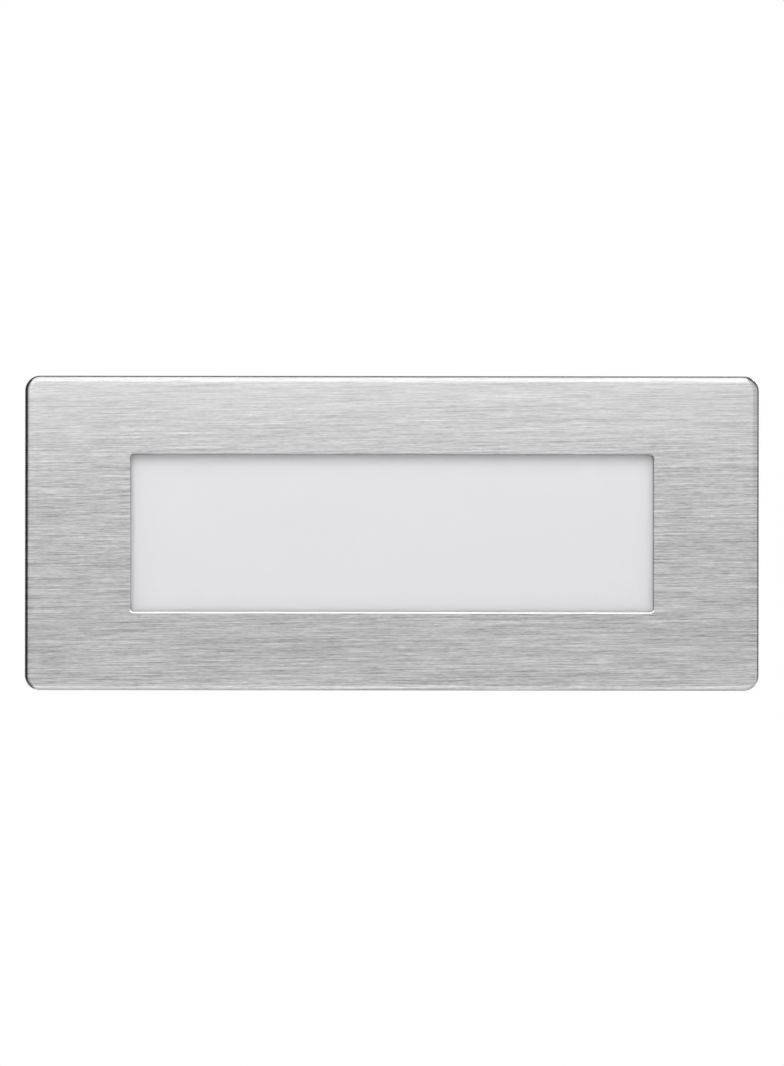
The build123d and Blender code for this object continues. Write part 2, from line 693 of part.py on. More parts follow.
# Rear seal and rear cover
with BuildPart() as rear_seal:
    slab(box_width - 2 * rear_seal_inset, box_height - 2 * rear_seal_inset,
         housing_corner_radius - rear_seal_inset, housing_rear_y, cover_front_y)
    slab(cavity_width + 2 * rear_seal_inner, cavity_height + 2 * rear_seal_inner, inner_corner_radius,
         housing_rear_y, cover_front_y, Mode.SUBTRACT)

with BuildPart() as rear_cover:
    slab(box_width, box_height, housing_corner_radius, cover_front_y, cover_back_y)
    chamfer(flat_faces(rear_cover)[-1].edges(), cover_edge_chamfer)
    slab(box_width - 2 * cover_panel_inset, box_height - 2 * cover_panel_inset, housing_corner_radius,
         cover_back_y - cover_panel_depth, cover_back_y, Mode.SUBTRACT)
    discs(gland_washer_radius + cover_gland_pad, [gland_spot], cover_back_y - cover_panel_depth, cover_back_y)
    discs(gland_thread_radius + gland_fit, [gland_spot], cover_front_y, cover_back_y, Mode.SUBTRACT)
    discs(cover_shank_radius + screw_pass_clearance, column_spots, cover_front_y, cover_back_y, Mode.SUBTRACT)
    discs(cover_head_radius + screw_head_gap, column_spots, cover_seat_y, cover_back_y, Mode.SUBTRACT)

rear_cover_screws = screws(rearward(cover_seat_y), column_spots, cover_head_radius, cover_head_height,
                           cover_shank_radius, cover_seat_y - cover_screw_end_y)

# Cable gland: body through the cover, washer, locknut inside, slit collet, rubber seal and dome nut
with BuildPart() as gland_body:
    discs(gland_thread_radius, [gland_spot], gland_thread_y, gland_flange_y)
    hexagon(gland_hex, gland_spot, gland_flange_y, gland_collet_y)
    discs(gland_collet_radius, [gland_spot], gland_collet_y, gland_collet_end_y)
    discs(gland_bore_radius, [gland_spot], gland_thread_y, gland_collet_end_y, Mode.SUBTRACT)
    discs(gland_seal_radius + gland_fit, [gland_spot], gland_seal_y, gland_collet_end_y, Mode.SUBTRACT)
    with BuildSketch(facing(gland_collet_end_y)):
        with Locations(gland_spot):
            with PolarLocations(gland_collet_radius, gland_collet_slits):
                Rectangle(gland_collet_radius, gland_collet_slit_width)
    extrude(amount=gland_collet_slit_length, mode=Mode.SUBTRACT)

with BuildPart() as gland_washer:
    discs(gland_washer_radius, [gland_spot], cover_back_y, gland_flange_y)
    discs(gland_thread_radius + gland_fit, [gland_spot], cover_back_y, gland_flange_y, Mode.SUBTRACT)

with BuildPart() as gland_locknut:
    hexagon(gland_locknut_hex, gland_spot, cover_front_y - gland_locknut_height, cover_front_y)
    discs(gland_thread_radius + gland_fit, [gland_spot], cover_front_y - gland_locknut_height, cover_front_y,
          Mode.SUBTRACT)

with BuildPart() as gland_seal:
    discs(gland_seal_radius, [gland_spot], gland_seal_y, gland_seal_end_y)
    discs(gland_seal_bore, [gland_spot], gland_seal_y, gland_seal_end_y, Mode.SUBTRACT)

with BuildPart() as gland_nut:
    dome_y = gland_nut_end_y - gland_nut_dome
    discs(gland_hex / 2 - gland_nut_dome_inset, [gland_spot], gland_nut_y, gland_nut_end_y)
    fillet(flat_faces(gland_nut)[-1].edges(), gland_nut_dome_round)
    hexagon(gland_hex, gland_spot, gland_nut_y, dome_y)
    discs(gland_nut_mouth, [gland_spot], gland_nut_y, gland_nut_end_y, Mode.SUBTRACT)
    discs(gland_seal_radius + gland_fit, [gland_spot], gland_nut_y, gland_seal_end_y, Mode.SUBTRACT)
    discs(gland_collet_radius + gland_fit, [gland_spot], gland_nut_y, gland_collet_end_y + gland_nut_gap,
          Mode.SUBTRACT)

# Clip bracket: sheet with two bent ears that carry the pin, and a foot that is screwed to the end wall
with BuildPart() as clip_bracket_right:
    bent_channel(ear_root_plane, clip_ear_outer, clip_sheet / 2, clip_pin_offset + clip_ear_radius,
                 2 * clip_ear_foot)
    with BuildSketch(pin_plane):
        Polygon((-clip_pin_offset, -clip_ear_foot), (0, -clip_ear_radius), (0, clip_ear_radius),
                (-clip_pin_offset, clip_ear_foot), align=None)
        Circle(clip_ear_radius)
        Circle(clip_pin_radius + clip_pin_clearance, mode=Mode.SUBTRACT)
    extrude(amount=clip_ear_outer, both=True, mode=Mode.INTERSECT)
    with BuildSketch(Plane.YZ.offset(box_width / 2)) as foot:
        with Locations((clip_pin_y + clip_ear_foot, 0)):
            Rectangle(clip_base_forward + clip_ear_foot, 2 * clip_neck_half_width,
                      align=(Align.MAX, Align.CENTER))
        with Locations((clip_pin_y - clip_base_forward, 0)):
            Rectangle(clip_base_forward - clip_ear_foot - clip_bend_relief, 2 * clip_ear_outer,
                      align=(Align.MIN, Align.CENTER))
        fillet(foot.vertices().group_by(Axis.X)[0], clip_corner_radius)
        with Locations(*clip_screw_spots):
            Circle(small_pass_radius, mode=Mode.SUBTRACT)
    extrude(amount=clip_sheet)

clip_screw_seat = Plane.YZ.offset(box_width / 2 + clip_sheet)
right_clip_screws = small_screws(clip_screw_seat, clip_screw_spots, clip_sheet)
with BuildPart() as clip_bracket_screws:
    add(right_clip_screws.part)
    mirror(right_clip_screws.part, about=Plane.YZ)

# Riveted hinge pin
with BuildPart() as clip_pin_right:
    with BuildSketch(pin_plane):
        Circle(clip_pin_radius)
    extrude(amount=clip_ear_outer + clip_pin_clearance, both=True)
    for side in (-1, 1):
        with BuildSketch(pin_plane.offset(side * (clip_ear_outer + clip_pin_clearance))):
            Circle(clip_pin_head_radius)
        extrude(amount=side * clip_pin_head_height)

# Clip arm: strip with two bent lugs on the pin; their heels stop it against the bracket when it springs open
with BuildPart() as clip_arm_right:
    bent_channel(arm_root_plane, arm_half_width, -arm_inner - clip_sheet / 2, clip_lug_radius,
                 arm_heel + clip_lug_reach)
    with BuildSketch(arm_side_plane):
        Polygon((-arm_heel, arm_outer), (-arm_heel, -arm_heel_drop), (0, -clip_lug_radius),
                (clip_lug_radius, 0), (clip_lug_reach, arm_inner), (clip_lug_reach, arm_outer), align=None)
        Circle(clip_lug_radius)
        Circle(clip_pin_radius + clip_pin_clearance, mode=Mode.SUBTRACT)
    extrude(amount=arm_half_width, both=True, mode=Mode.INTERSECT)
    extrude(arm_outline(-arm_heel, arm_length, arm_neck_half_width, arm_tip_radius), amount=clip_sheet)
    extrude(arm_outline(clip_lug_reach + clip_bend_relief, arm_length, arm_half_width, arm_tip_radius),
            amount=clip_sheet)

# Soft sleeve over the arm's tip
with BuildPart() as clip_sleeve_right:
    sleeve_plan = arm_outline(arm_length - sleeve_cover, arm_length + sleeve_wall,
                              arm_half_width + sleeve_wall, arm_tip_radius + sleeve_wall)
    extrude(sleeve_plan, amount=clip_sheet + sleeve_wall)
    extrude(sleeve_plan, amount=-sleeve_wall)
    extrude(arm_outline(clip_lug_reach + clip_bend_relief, arm_length, arm_half_width, arm_tip_radius),
            amount=clip_sheet, mode=Mode.SUBTRACT)

# Torsion spring: one wire from a leg on the bracket, round the pin, to a leg along the arm
spring_turn = 360 * spring_full_turns + 180 - clip_rest_angle
spring_rise = spring_pitch * spring_turn / 360
spring_slope = spring_pitch / (2 * pi * coil_radius)
spring_steps = 4 * spring_full_turns + 2
coil_points = []
coil_tangents = []
for step in range(spring_steps + 1):
    angle = radians(180 - spring_turn * step / spring_steps)
    around = Vector(cos(angle), sin(angle), 0) * coil_radius
    coil_points.append(clip_pin_center + around + Vector(0, 0, spring_rise * (step / spring_steps - 0.5)))
    climb = spring_slope if 0 < step < spring_steps else 0
    coil_tangents.append(Vector(sin(angle), -cos(angle), climb).normalized())
fixed_leg_end = coil_points[0] - coil_tangents[0] * spring_fixed_leg
moving_leg_end = coil_points[-1] + coil_tangents[-1] * spring_moving_leg

with BuildPart() as clip_spring_right:
    with BuildLine() as spring_wire:
        Line(fixed_leg_end, coil_points[0])
        for step in range(spring_steps):
            biarc(coil_points[step], coil_tangents[step], coil_points[step + 1], coil_tangents[step + 1])
        Line(coil_points[-1], moving_leg_end)
    with BuildSketch(Plane(origin=fixed_leg_end, z_dir=coil_tangents[0])):
        Circle(spring_wire_radius)
    sweep(path=spring_wire.line)

# Least gap of the spring's wire to itself, between points more than half a turn apart along it
spring_path = Wire(spring_wire.edges())
sample_count = 40 * spring_steps
samples = [spring_path.position_at(index / sample_count) for index in range(sample_count + 1)]
half_turn = int(pi * coil_radius / spring_path.length * sample_count)
least_gap = min((samples[first] - samples[second]).length
                for first in range(0, sample_count + 1, 4)
                for second in range(first + half_turn, sample_count + 1, 2)) - 2 * spring_wire_radius
print(f"spring wire: least gap to itself {least_gap:.2f} mm")
print(f"spring wire: volume {clip_spring_right.part.volume:.3f} mm3,"
      f" section times length {pi * spring_wire_radius ** 2 * spring_path.length:.3f} mm3")

clip_bracket_left = mirrored(clip_bracket_right)
clip_pin_left = mirrored(clip_pin_right)
clip_arm_left = mirrored(clip_arm_right)
clip_sleeve_left = mirrored(clip_sleeve_right)
clip_spring_left = mirrored(clip_spring_right)

pieces = {
    "faceplate": faceplate,
    "faceplate_tape": faceplate_tape,
    "diffuser": diffuser,
    "diffuser_seal": diffuser_seal,
    "wall_gasket": wall_gasket,
    "housing": housing,
    "reflector": reflector,
    "led_board": led_board,
    "leds": leds,
    "led_phosphors": led_phosphors,
    "thermal_pad": thermal_pad,
    "heat_spreader": heat_spreader,
    "light_engine_screws": light_engine_screws,
    "driver_board": driver_board,
    "driver_board_screws": driver_board_screws,
    "link_header": link_header,
    "link_pins": link_pins,
    "varistor": varistor,
    "fuse_resistor": fuse_resistor,
    "film_capacitor": film_capacitor,
    "bridge_rectifier": bridge_rectifier,
    "electrolytic_capacitor": electrolytic_capacitor,
    "choke": choke,
    "driver_chip": driver_chip,
    "terminal_block": terminal_block,
    "terminal_screws": terminal_screws,
    "rear_seal": rear_seal,
    "rear_cover": rear_cover,
    "rear_cover_screws": rear_cover_screws,
    "gland_body": gland_body,
    "gland_washer": gland_washer,
    "gland_locknut": gland_locknut,
    "gland_seal": gland_seal,
    "gland_nut": gland_nut,
    "clip_bracket_left": clip_bracket_left,
    "clip_bracket_right": clip_bracket_right,
    "clip_bracket_screws": clip_bracket_screws,
    "clip_pin_left": clip_pin_left,
    "clip_pin_right": clip_pin_right,
    "clip_arm_left": clip_arm_left,
    "clip_arm_right": clip_arm_right,
    "clip_sleeve_left": clip_sleeve_left,
    "clip_sleeve_right": clip_sleeve_right,
    "clip_spring_left": clip_spring_left,
    "clip_spring_right": clip_spring_right,
}

os.makedirs("parts", exist_ok=True)
for name, piece in pieces.items():
    piece.part.label = name
    export_step(piece.part, f"parts/{name}.step")
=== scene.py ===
import math

import bpy
from mathutils import Matrix, Vector


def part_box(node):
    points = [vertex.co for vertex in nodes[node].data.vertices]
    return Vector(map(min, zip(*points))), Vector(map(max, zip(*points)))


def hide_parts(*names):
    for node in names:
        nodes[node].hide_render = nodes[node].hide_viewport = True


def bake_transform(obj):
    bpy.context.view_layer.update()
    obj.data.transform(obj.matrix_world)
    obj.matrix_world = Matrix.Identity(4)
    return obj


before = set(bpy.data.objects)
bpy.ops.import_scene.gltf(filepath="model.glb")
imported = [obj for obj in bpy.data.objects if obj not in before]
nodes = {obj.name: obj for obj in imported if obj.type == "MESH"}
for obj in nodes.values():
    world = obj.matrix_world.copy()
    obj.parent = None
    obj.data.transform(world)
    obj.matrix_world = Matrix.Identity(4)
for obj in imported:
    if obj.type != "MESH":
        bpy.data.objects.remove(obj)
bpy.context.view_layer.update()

scene = bpy.context.scene
scene.view_settings.view_transform = "Standard"
MM = 0.001
WHITE = (1, 1, 1, 1)

# Sizes of the part that the looks and the camera need, in metres
plate_low, plate_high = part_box("faceplate")
plate_front = plate_low.y
plate_width = plate_high.x - plate_low.x
plate_edge_roll = 1.1 * MM


# Node trees

class Tree:
    """The nodes and links of one shader tree."""

    def __init__(self, node_tree):
        self.nodes = node_tree.nodes
        self.links = node_tree.links

    def fill(self, socket, value):
        """Link another node's output to an input socket, or set a plain value on it."""
        if isinstance(value, bpy.types.NodeSocket):
            self.links.new(value, socket)
        else:
            socket.default_value = value

    def add(self, kind, inputs=(), **settings):
        made = self.nodes.new(kind)
        for name, value in settings.items():
            setattr(made, name, value)
        for key, value in dict(inputs).items():
            self.fill(made.inputs[key], value)
        return made

    def math(self, operation, first, second=0.0):
        return self.add("ShaderNodeMath", {0: first, 1: second}, operation=operation).outputs[0]

    def plus(self, first, second):
        return self.math("ADD", first, second)

    def minus(self, first, second):
        return self.math("SUBTRACT", first, second)

    def times(self, first, second):
        return self.math("MULTIPLY", first, second)

    def mix_shaders(self, share, first, second):
        return self.add("ShaderNodeMixShader", {0: share, 1: first, 2: second}).outputs[0]


class Look(Tree):
    """A node material on object coordinates, built round one Principled shader."""

    # The range in which most values of a noise texture lie
    noise_low, noise_high = 0.3, 0.7

    def __init__(self, name, color, roughness, metallic=0.0, **sockets):
        self.name = name
        self.material = bpy.data.materials.new(name)
        self.material.use_nodes = True
        super().__init__(self.material.node_tree)
        self.shader = self.nodes["Principled BSDF"]
        self.set("Base Color", (*color, 1))
        self.set("Roughness", roughness)
        self.set("Metallic", metallic)
        for socket, value in sockets.items():
            self.set(socket.replace("_", " "), value)
        self.place = self.add("ShaderNodeTexCoord").outputs["Object"]

    def set(self, socket, value):
        self.fill(self.shader.inputs[socket], value)

    def sized(self, size, place=None):
        """Coordinates divided by a feature size: one number, or one for each axis."""
        sizes = size if hasattr(size, "__len__") else (size,) * 3
        inputs = {0: place or self.place, 1: tuple(1 / axis_size for axis_size in sizes)}
        return self.add("ShaderNodeVectorMath", inputs, operation="MULTIPLY").outputs[0]

    def noise(self, size, detail=2.0, rough=0.5, place=None, dimensions="3D"):
        inputs = {"Vector": self.sized(size, place), "Scale": 1.0, "Detail": detail, "Roughness": rough}
        return self.add("ShaderNodeTexNoise", inputs, noise_dimensions=dimensions).outputs["Fac"]

    def cells(self, size):
        inputs = {"Vector": self.sized(size), "Scale": 1.0}
        return self.add("ShaderNodeTexVoronoi", inputs).outputs["Distance"]

    def spread(self, value, low, high, new_low=0.0, new_high=1.0):
        inputs = {"Value": value, "From Min": low, "From Max": high, "To Min": new_low, "To Max": new_high}
        return self.add("ShaderNodeMapRange", inputs).outputs["Result"]

    def vary(self, pattern, new_low=0.0, new_high=1.0):
        """A noise pattern stretched to a new range."""
        return self.spread(pattern, self.noise_low, self.noise_high, new_low, new_high)

    def blend(self, first, second, second_share):
        """Two patterns added with shares that sum to 1."""
        return self.plus(self.times(first, 1 - second_share), self.times(second, second_share))

    def tint(self, share, dark, light):
        mix = self.add("ShaderNodeMix", {"Factor": share}, data_type="RGBA")
        colors = [socket for socket in mix.inputs if socket.type == "RGBA"]
        for socket, color in zip(colors, (dark, light)):
            socket.default_value = (*color, 1)
        return next(socket for socket in mix.outputs if socket.type == "RGBA")

    def relief(self, height, depth, strength, edge=0.0):
        """Bump of the given depth in metres, on edges softened by a small radius."""
        inputs = {"Height": height, "Distance": depth, "Strength": strength}
        if edge:
            inputs["Normal"] = self.add("ShaderNodeBevel", {"Radius": edge}, samples=4).outputs[0]
        self.set("Normal", self.add("ShaderNodeBump", inputs).outputs[0])


# Looks of the pieces

def gray(value):
    return (value, value, value)


# Brush lines, from broad bands to short scratches: length and width in millimetres, and weight
brush_layers = (
    (32, 1.5, 0.12),
    (50, 0.28, 0.16),
    (13, 0.21, 0.25),
    (4.2, 0.165, 0.28),
    (1.2, 0.15, 0.19),
)
brush_slope = math.tan(math.radians(0.8))
middle_share = 0.5
# Painted highlight and painted shade, as shares of the light tint: on the window's lower rim, on its upper
# and right rims, and on the outward sides
lower_rim_painted_highlight = 0.5
shaded_rim_loss = 0.6
side_painted_shade_share = 0.3
round_roughness = 0.8


def brushed_plate():
    """Steel brushed along X, with lines that grow calmer towards the top and run on round the edges, and
    with a painted highlight and painted shade on the window's rims and the sides.
    """
    look = Look("brushed_plate", gray(0.5), roughness=0.36, metallic=1.0, Anisotropic=0.72)
    place = look.add("ShaderNodeSeparateXYZ", {0: look.place}).outputs
    surface = look.add("ShaderNodeNewGeometry").outputs["Normal"]
    normal = look.add("ShaderNodeSeparateXYZ", {0: surface}).outputs
    facing = look.math("ABSOLUTE", normal["Y"])

    # Places on the plate as if its sides were folded flat, with the brushing's slight slope
    behind = look.minus(place["Y"], plate_front)
    along = look.plus(place["X"], look.times(normal["X"], behind))
    across = look.plus(place["Z"], look.times(normal["Z"], behind))
    across = look.minus(across, look.times(along, brush_slope))
    unfolded = look.add("ShaderNodeCombineXYZ", {0: along, 1: across}).outputs[0]
    lines = 0.0
    for length, width, weight in brush_layers:
        layer = look.noise((length * MM, width * MM, 1), rough=0.6, place=unfolded, dimensions="2D")
        lines = look.plus(lines, look.times(layer, weight))

    # Share of the light tint: from the lines, plus a painted highlight on the window's lower rim and
    # painted shade on its upper and right rims
    contrast = look.spread(place["Z"], 8 * MM, 25 * MM, new_low=1.05, new_high=0.55)
    swing = look.spread(lines, 0.35, 0.65, new_low=-0.5, new_high=0.5)
    share = look.plus(look.times(swing, contrast), middle_share)
    # Painted highlight: the upward-facing rounds in the lower half get a lighter base colour
    facing_up = look.spread(normal["Z"], 0.05, 0.25)
    lower_half = look.math("LESS_THAN", place["Z"], 0.0)
    share = look.plus(share, look.times(look.times(facing_up, lower_half), lower_rim_painted_highlight))
    # Painted shade: rounds that face down in the upper half, or left in the right half, get a darker base
    # colour
    on_round = look.math("GREATER_THAN", facing, 0.15)
    outward = 0.0
    for axis in ("X", "Z"):
        outward = look.plus(outward, look.times(normal[axis], place[axis]))
        turned_in = look.spread(normal[axis], -0.45, -0.8)
        far_half = look.math("GREATER_THAN", place[axis], 0.0)
        shaded = look.times(look.times(turned_in, far_half), on_round)
        share = look.minus(share, look.times(shaded, shaded_rim_loss))

    # Painted shade: the drawn sides that face outward, and the steep part of the rolls, get a darker base
    # colour so they don't show white; the rounds are smoother
    painted_side_shade = look.spread(facing, 0.10, 0.45, new_low=side_painted_shade_share)
    brightness = look.math("MAXIMUM", painted_side_shade, look.math("LESS_THAN", outward, 0.0))
    share = look.times(share, brightness)
    look.set("Base Color", look.tint(share, dark=(0.27, 0.27, 0.272), light=(0.73, 0.73, 0.732)))
    smoother = look.spread(facing, 0.70, 0.97, new_low=round_roughness)
    look.set("Roughness", look.times(look.vary(lines, 0.42, 0.33), smoother))

    # Highlights are stretched across the brush lines
    look.set("Tangent", look.add("ShaderNodeCombineXYZ", {1: 0.02, 2: 1.0}).outputs[0])
    look.relief(lines, depth=0.006 * MM, strength=0.5)
    return look


def opal():
    """Milky lens that scatters light inside, with faint clouds and a satin face."""
    look = Look("opal", gray(0.86), roughness=0.38, IOR=1.49,
                Subsurface_Weight=0.75, Subsurface_Scale=2.6 * MM, Subsurface_Radius=(1.0, 1.0, 1.0))
    clouds = look.noise(30 * MM, detail=3)
    look.set("Base Color", look.tint(clouds, dark=(0.854, 0.848, 0.878), light=(0.878, 0.872, 0.904)))
    satin = look.noise(0.25 * MM)
    look.set("Roughness", look.vary(satin, 0.34, 0.44))
    look.relief(satin, depth=0.004 * MM, strength=0.4)
    return look


def moulding(name, dark, light, rough, grain=0.35 * MM, depth=0.02 * MM, edge=0.25 * MM, **sockets):
    """Moulded plastic or rubber: a fine texture under faint clouds."""
    low, high = rough
    look = Look(name, light, roughness=(low + high) / 2, **sockets)
    texture = look.noise(grain, detail=3, rough=0.6)
    clouds = look.noise(14 * MM, detail=3)
    look.set("Base Color", look.tint(look.blend(clouds, texture, second_share=0.4), dark, light))
    look.set("Roughness", look.vary(texture, high, low))
    look.relief(texture, depth, strength=0.6, edge=edge)
    return look


def foam(name, dark, light):
    """Foam rubber with small round pores."""
    look = Look(name, light, roughness=0.92)
    pores = look.cells(0.45 * MM)
    fine = look.noise(0.2 * MM)
    look.set("Base Color", look.tint(look.spread(pores, 0.0, 0.7), dark, light))
    look.set("Roughness", look.vary(fine, 0.85, 0.98))
    look.relief(look.minus(pores, look.times(fine, 0.3)), depth=0.10 * MM, strength=0.7)
    return look


def metal(name, dark, light, rough=(0.26, 0.40), streak=(6 * MM, 0.25 * MM, 6 * MM), edge=0.15 * MM):
    """Metal with soft clouds and fine streaks of the given size along each axis."""
    low, high = rough
    look = Look(name, light, roughness=(low + high) / 2, metallic=1.0)
    clouds = look.noise(5 * MM, detail=4, rough=0.6)
    lines = look.noise(streak, rough=0.6)
    share = look.blend(clouds, lines, second_share=0.45)
    look.set("Base Color", look.tint(look.vary(share), dark, light))
    look.set("Roughness", look.vary(share, high, low))
    look.relief(lines, depth=0.006 * MM, strength=0.4, edge=edge)
    return look


def board(name, mask, trace):
    """Circuit board: solder mask over a grid of copper tracks that show through it."""
    low, high = 0.28, 0.4
    look = Look(name, mask, roughness=low, Coat_Weight=0.2, Coat_Roughness=0.2)
    place = look.add("ShaderNodeSeparateXYZ", {0: look.place}).outputs
    face = look.add("ShaderNodeCombineXYZ", {0: place["X"], 1: place["Z"]}).outputs[0]
    copper = look.add("ShaderNodeTexBrick", {
        "Vector": look.sized((9 * MM, 9 * MM, 1), face),
        "Scale": 1.0,
        "Mortar Size": 0.06,
        "Mortar Smooth": 0.1,
        "Brick Width": 1.3,
        "Row Height": 0.35,
    }).outputs["Fac"]
    clouds = look.noise(6 * MM, detail=3)
    look.set("Base Color", look.tint(look.blend(copper, clouds, second_share=0.2), mask, trace))
    look.set("Roughness", look.vary(clouds, low, high))
    look.relief(copper, depth=0.03 * MM, strength=0.6)
    return look


finished = (
    brushed_plate(),
    opal(),
    foam("foam", dark=gray(0.022), light=gray(0.06)),
    moulding("silicone", dark=gray(0.42), light=gray(0.56), rough=(0.42, 0.55), grain=0.5 * MM,
             depth=0.01 * MM, edge=0.1 * MM, Subsurface_Weight=0.2, Subsurface_Scale=0.8 * MM),
    moulding("moulding", dark=(0.016, 0.0165, 0.018), light=(0.040, 0.0405, 0.042), rough=(0.44, 0.64),
             grain=0.55 * MM, depth=0.16 * MM),
    moulding("white_moulding", dark=gray(0.80), light=gray(0.87), rough=(0.42, 0.52)),
    board("white_board", mask=(0.80, 0.81, 0.79), trace=(0.70, 0.71, 0.68)),
    board("green_board", mask=(0.012, 0.11, 0.045), trace=(0.03, 0.21, 0.085)),
    moulding("led_body", dark=(0.80, 0.78, 0.70), light=(0.88, 0.86, 0.80), rough=(0.35, 0.45),
             grain=0.2 * MM, depth=0.004 * MM, edge=0.05 * MM),
    moulding("phosphor", dark=(0.86, 0.62, 0.10), light=(0.93, 0.74, 0.20), rough=(0.2, 0.35),
             grain=0.12 * MM, depth=0.004 * MM, edge=0.0, Subsurface_Weight=0.2, Subsurface_Scale=0.3 * MM),
    moulding("thermal_pad", dark=(0.20, 0.26, 0.36), light=(0.30, 0.36, 0.46), rough=(0.75, 0.9),
             grain=0.3 * MM, edge=0.0),
    metal("aluminium", dark=gray(0.66), light=gray(0.80), rough=(0.3, 0.45),
          streak=(20 * MM, 0.2 * MM, 0.2 * MM)),
    metal("zinc_steel", dark=(0.52, 0.535, 0.55), light=(0.68, 0.69, 0.695)),
    metal("spring_steel", dark=(0.36, 0.365, 0.375), light=(0.52, 0.52, 0.525), rough=(0.24, 0.36),
          streak=(0.2 * MM, 5 * MM, 0.2 * MM)),
    metal("tinned_pin", dark=gray(0.62), light=gray(0.76), rough=(0.2, 0.32),
          streak=(0.1 * MM, 3 * MM, 0.1 * MM), edge=0.05 * MM),
    moulding("black_component", dark=gray(0.016), light=gray(0.03), rough=(0.35, 0.5),
             grain=0.2 * MM, depth=0.008 * MM, edge=0.1 * MM),
    moulding("blue_component", dark=(0.02, 0.07, 0.28), light=(0.035, 0.11, 0.38), rough=(0.22, 0.34),
             grain=0.6 * MM, depth=0.01 * MM),
    moulding("sand_component", dark=(0.55, 0.44, 0.27), light=(0.70, 0.58, 0.38), rough=(0.3, 0.45),
             grain=0.4 * MM, depth=0.01 * MM),
    moulding("yellow_component", dark=(0.72, 0.50, 0.06), light=(0.84, 0.62, 0.10), rough=(0.25, 0.38),
             grain=0.5 * MM, depth=0.008 * MM),
    moulding("terminal_green", dark=(0.02, 0.19, 0.075), light=(0.04, 0.27, 0.12), rough=(0.4, 0.52)),
    moulding("nylon_black", dark=gray(0.018), light=gray(0.032), rough=(0.4, 0.52),
             grain=0.25 * MM, depth=0.012 * MM),
    moulding("rubber_black", dark=gray(0.014), light=gray(0.026), rough=(0.72, 0.86),
             grain=0.18 * MM, depth=0.015 * MM),
    moulding("sleeve_grey", dark=gray(0.11), light=gray(0.16), rough=(0.5, 0.64),
             grain=0.3 * MM, depth=0.015 * MM),
)
looks = {look.name: look.material for look in finished}

for node in nodes.values():
    for slot in node.material_slots:
        slot.material = looks[slot.material.name.split(".")[0]]


def mesh_object(name, vertices, faces):
    mesh = bpy.data.meshes.new(name)
    mesh.from_pydata(vertices, [], faces)
    mesh.update()
    made = bpy.data.objects.new(name, mesh)
    scene.collection.objects.link(made)
    return made


# Torsion springs: one wire from a leg on the bracket, round the pin, to a leg along the arm

pin_center = Vector((53.0, 27.2, 0)) * MM
arm_angle_at_rest = 15
coil_radius = 1.55 * MM
coil_pitch = 1.1 * MM
coil_turns = 4 + (180 - arm_angle_at_rest) / 360
coil_rise = coil_pitch * coil_turns
coil_eased_turns = 0.25
fixed_leg = 6.0 * MM
moving_leg = 9.0 * MM
wire_radius = 0.3 * MM
wire_end_radius = 0.72 * wire_radius
wire_end_length = 0.3 * wire_radius
wire_sides = 14
steps_per_turn = 32
steps_per_leg = 6


def coil_line():
    """Centre line of the right-hand spring, with its climb eased in and out at both ends of the coil."""
    count = round(coil_turns * steps_per_turn)
    ease = coil_eased_turns / coil_turns
    points = []
    for step in range(count + 1):
        turned = step / count
        if turned < ease:
            climb = turned * turned / (2 * ease)
        elif turned > 1 - ease:
            climb = 1 - ease - (1 - turned) ** 2 / (2 * ease)
        else:
            climb = turned - ease / 2
        angle = math.pi - 2 * math.pi * coil_turns * turned
        around = Vector((math.cos(angle), math.sin(angle), 0)) * coil_radius
        height = coil_rise * (climb / (1 - ease) - 0.5)
        points.append(pin_center + around + Vector((0, 0, height)))
    last_angle = math.pi - 2 * math.pi * coil_turns
    start_along = Vector((0, 1, 0))
    end_along = Vector((math.sin(last_angle), -math.cos(last_angle), 0))
    before, after = [], []
    for i in range(steps_per_leg):
        before.append(points[0] - start_along * fixed_leg * (1 - i / steps_per_leg))
        after.append(points[-1] + end_along * moving_leg * (i + 1) / steps_per_leg)
    return before + points + after


def wire(name, line):
    """Round wire along a line, with slightly rounded ends."""
    tangents = []
    for i in range(len(line)):
        tangents.append((line[min(i + 1, len(line) - 1)] - line[max(i - 1, 0)]).normalized())
    stations = [(line[0], tangents[0], wire_end_radius),
                (line[0] + tangents[0] * wire_end_length, tangents[0], wire_radius)]
    stations += [(point, tangent, wire_radius) for point, tangent in zip(line[1:-1], tangents[1:-1])]
    stations += [(line[-1] - tangents[-1] * wire_end_length, tangents[-1], wire_radius),
                 (line[-1], tangents[-1], wire_end_radius)]
    side = tangents[0].orthogonal().normalized()
    vertices, faces = [], []
    for point, tangent, radius in stations:
        side = (side - tangent * side.dot(tangent)).normalized()
        up = tangent.cross(side)
        for corner in range(wire_sides):
            angle = 2 * math.pi * corner / wire_sides
            vertices.append(point + (side * math.cos(angle) + up * math.sin(angle)) * radius)
    for ring in range(len(stations) - 1):
        near = ring * wire_sides
        far = near + wire_sides
        for corner in range(wire_sides):
            after = (corner + 1) % wire_sides
            faces.append((near + corner, near + after, far + after, far + corner))
    last_ring = (len(stations) - 1) * wire_sides
    faces.append(tuple(range(wire_sides))[::-1])
    faces.append(tuple(range(last_ring, last_ring + wire_sides)))
    return mesh_object(name, vertices, faces)


for side, sign in (("right", 1), ("left", -1)):
    line = [Vector((sign * point.x, point.y, point.z)) for point in coil_line()]
    spring = wire(f"torsion_spring_{side}", line)
    spring.data.materials.append(looks["spring_steel"])
    smooth = [len(polygon.vertices) == 4 for polygon in spring.data.polygons]
    spring.data.polygons.foreach_set("use_smooth", smooth)
    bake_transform(spring)
    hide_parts(f"clip_spring_{side}")


# Stage: a pale floor that fades into a white surround, soft light, and cards that make the edge lines

world_light = 0.435
white_shown = 1.0
floor_color = 0.9
floor_level = -0.115
floor_radius = 1.2
floor_rings, floor_sides = 24, 96
fade_start = 0.10
fade_end = 0.27


def empty_tree(owner):
    """The shader tree of a new material or world, with nothing in it yet."""
    owner.use_nodes = True
    owner.node_tree.nodes.clear()
    return Tree(owner.node_tree)


